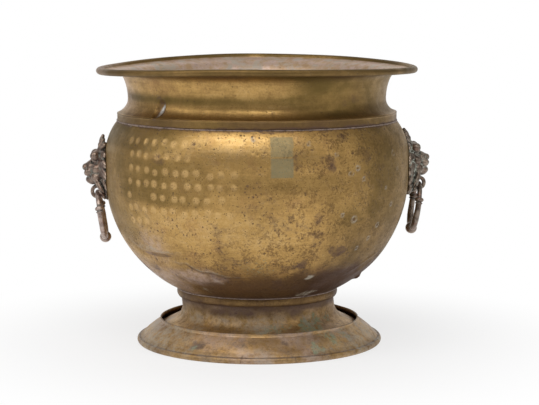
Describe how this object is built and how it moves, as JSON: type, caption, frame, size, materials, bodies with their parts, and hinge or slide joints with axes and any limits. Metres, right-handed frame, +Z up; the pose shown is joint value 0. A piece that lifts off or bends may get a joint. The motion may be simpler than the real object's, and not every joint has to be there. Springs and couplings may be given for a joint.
{
  "type": "planter pot",
  "caption": "Footed brass planter pot with a rounded bowl, flared neck, stepped foot and lion masks that carry swinging ring handles.",
  "frame": {"origin": "on the ground plane, under the centre of the pot's box", "axes": "+Z up along the pot's axis, +X towards the right-hand mask, -Y towards a viewer who faces the pot with a mask on each side"},
  "size_m": [0.3823, 0.3499, 0.3086],
  "materials": {
    "aged_brass": "aged, dull satin with brown and green tarnish",
    "dark_cast_brass": "dark cast brass, rubbed on the high points",
    "iron_wire": "plain iron wire inside the rolled edges",
    "solder": "dull grey soft solder",
    "steel_fixings": "dull steel"
  },
  "bodies": {
    "pot": {"bowl": "aged_brass", "neck": "aged_brass", "rim_wire": "iron_wire", "shoulder_solder": "solder", "foot_collar": "aged_brass", "collar_solder": "solder", "foot_spool": "aged_brass", "foot_solder": "solder", "base_ring": "aged_brass", "base_wire": "iron_wire", "base_solder": "solder", "left_lion_mask": "dark_cast_brass", "left_lower_stud": "steel_fixings", "left_lower_washer": "steel_fixings", "left_lower_nut": "steel_fixings", "left_upper_stud": "steel_fixings", "left_upper_washer": "steel_fixings", "left_upper_nut": "steel_fixings", "right_lion_mask": "dark_cast_brass", "right_lower_stud": "steel_fixings", "right_lower_washer": "steel_fixings", "right_lower_nut": "steel_fixings", "right_upper_stud": "steel_fixings", "right_upper_washer": "steel_fixings", "right_upper_nut": "steel_fixings"},
    "left_handle": {"left_ring": "dark_cast_brass"},
    "right_handle": {"right_ring": "dark_cast_brass"}
  },
  "joints": [
    {"name": "left_ring_swing", "type": "hinge", "parent": "pot", "child": "left_handle", "pos_m": [-0.17455, 0, 0.16596], "axis": [0, 1, 0], "range_deg": [-11, 165]},
    {"name": "right_ring_swing", "type": "hinge", "parent": "pot", "child": "right_handle", "pos_m": [0.17877, 0, 0.17332], "axis": [0, -1, 0], "range_deg": [-11, 165]}
  ]
}
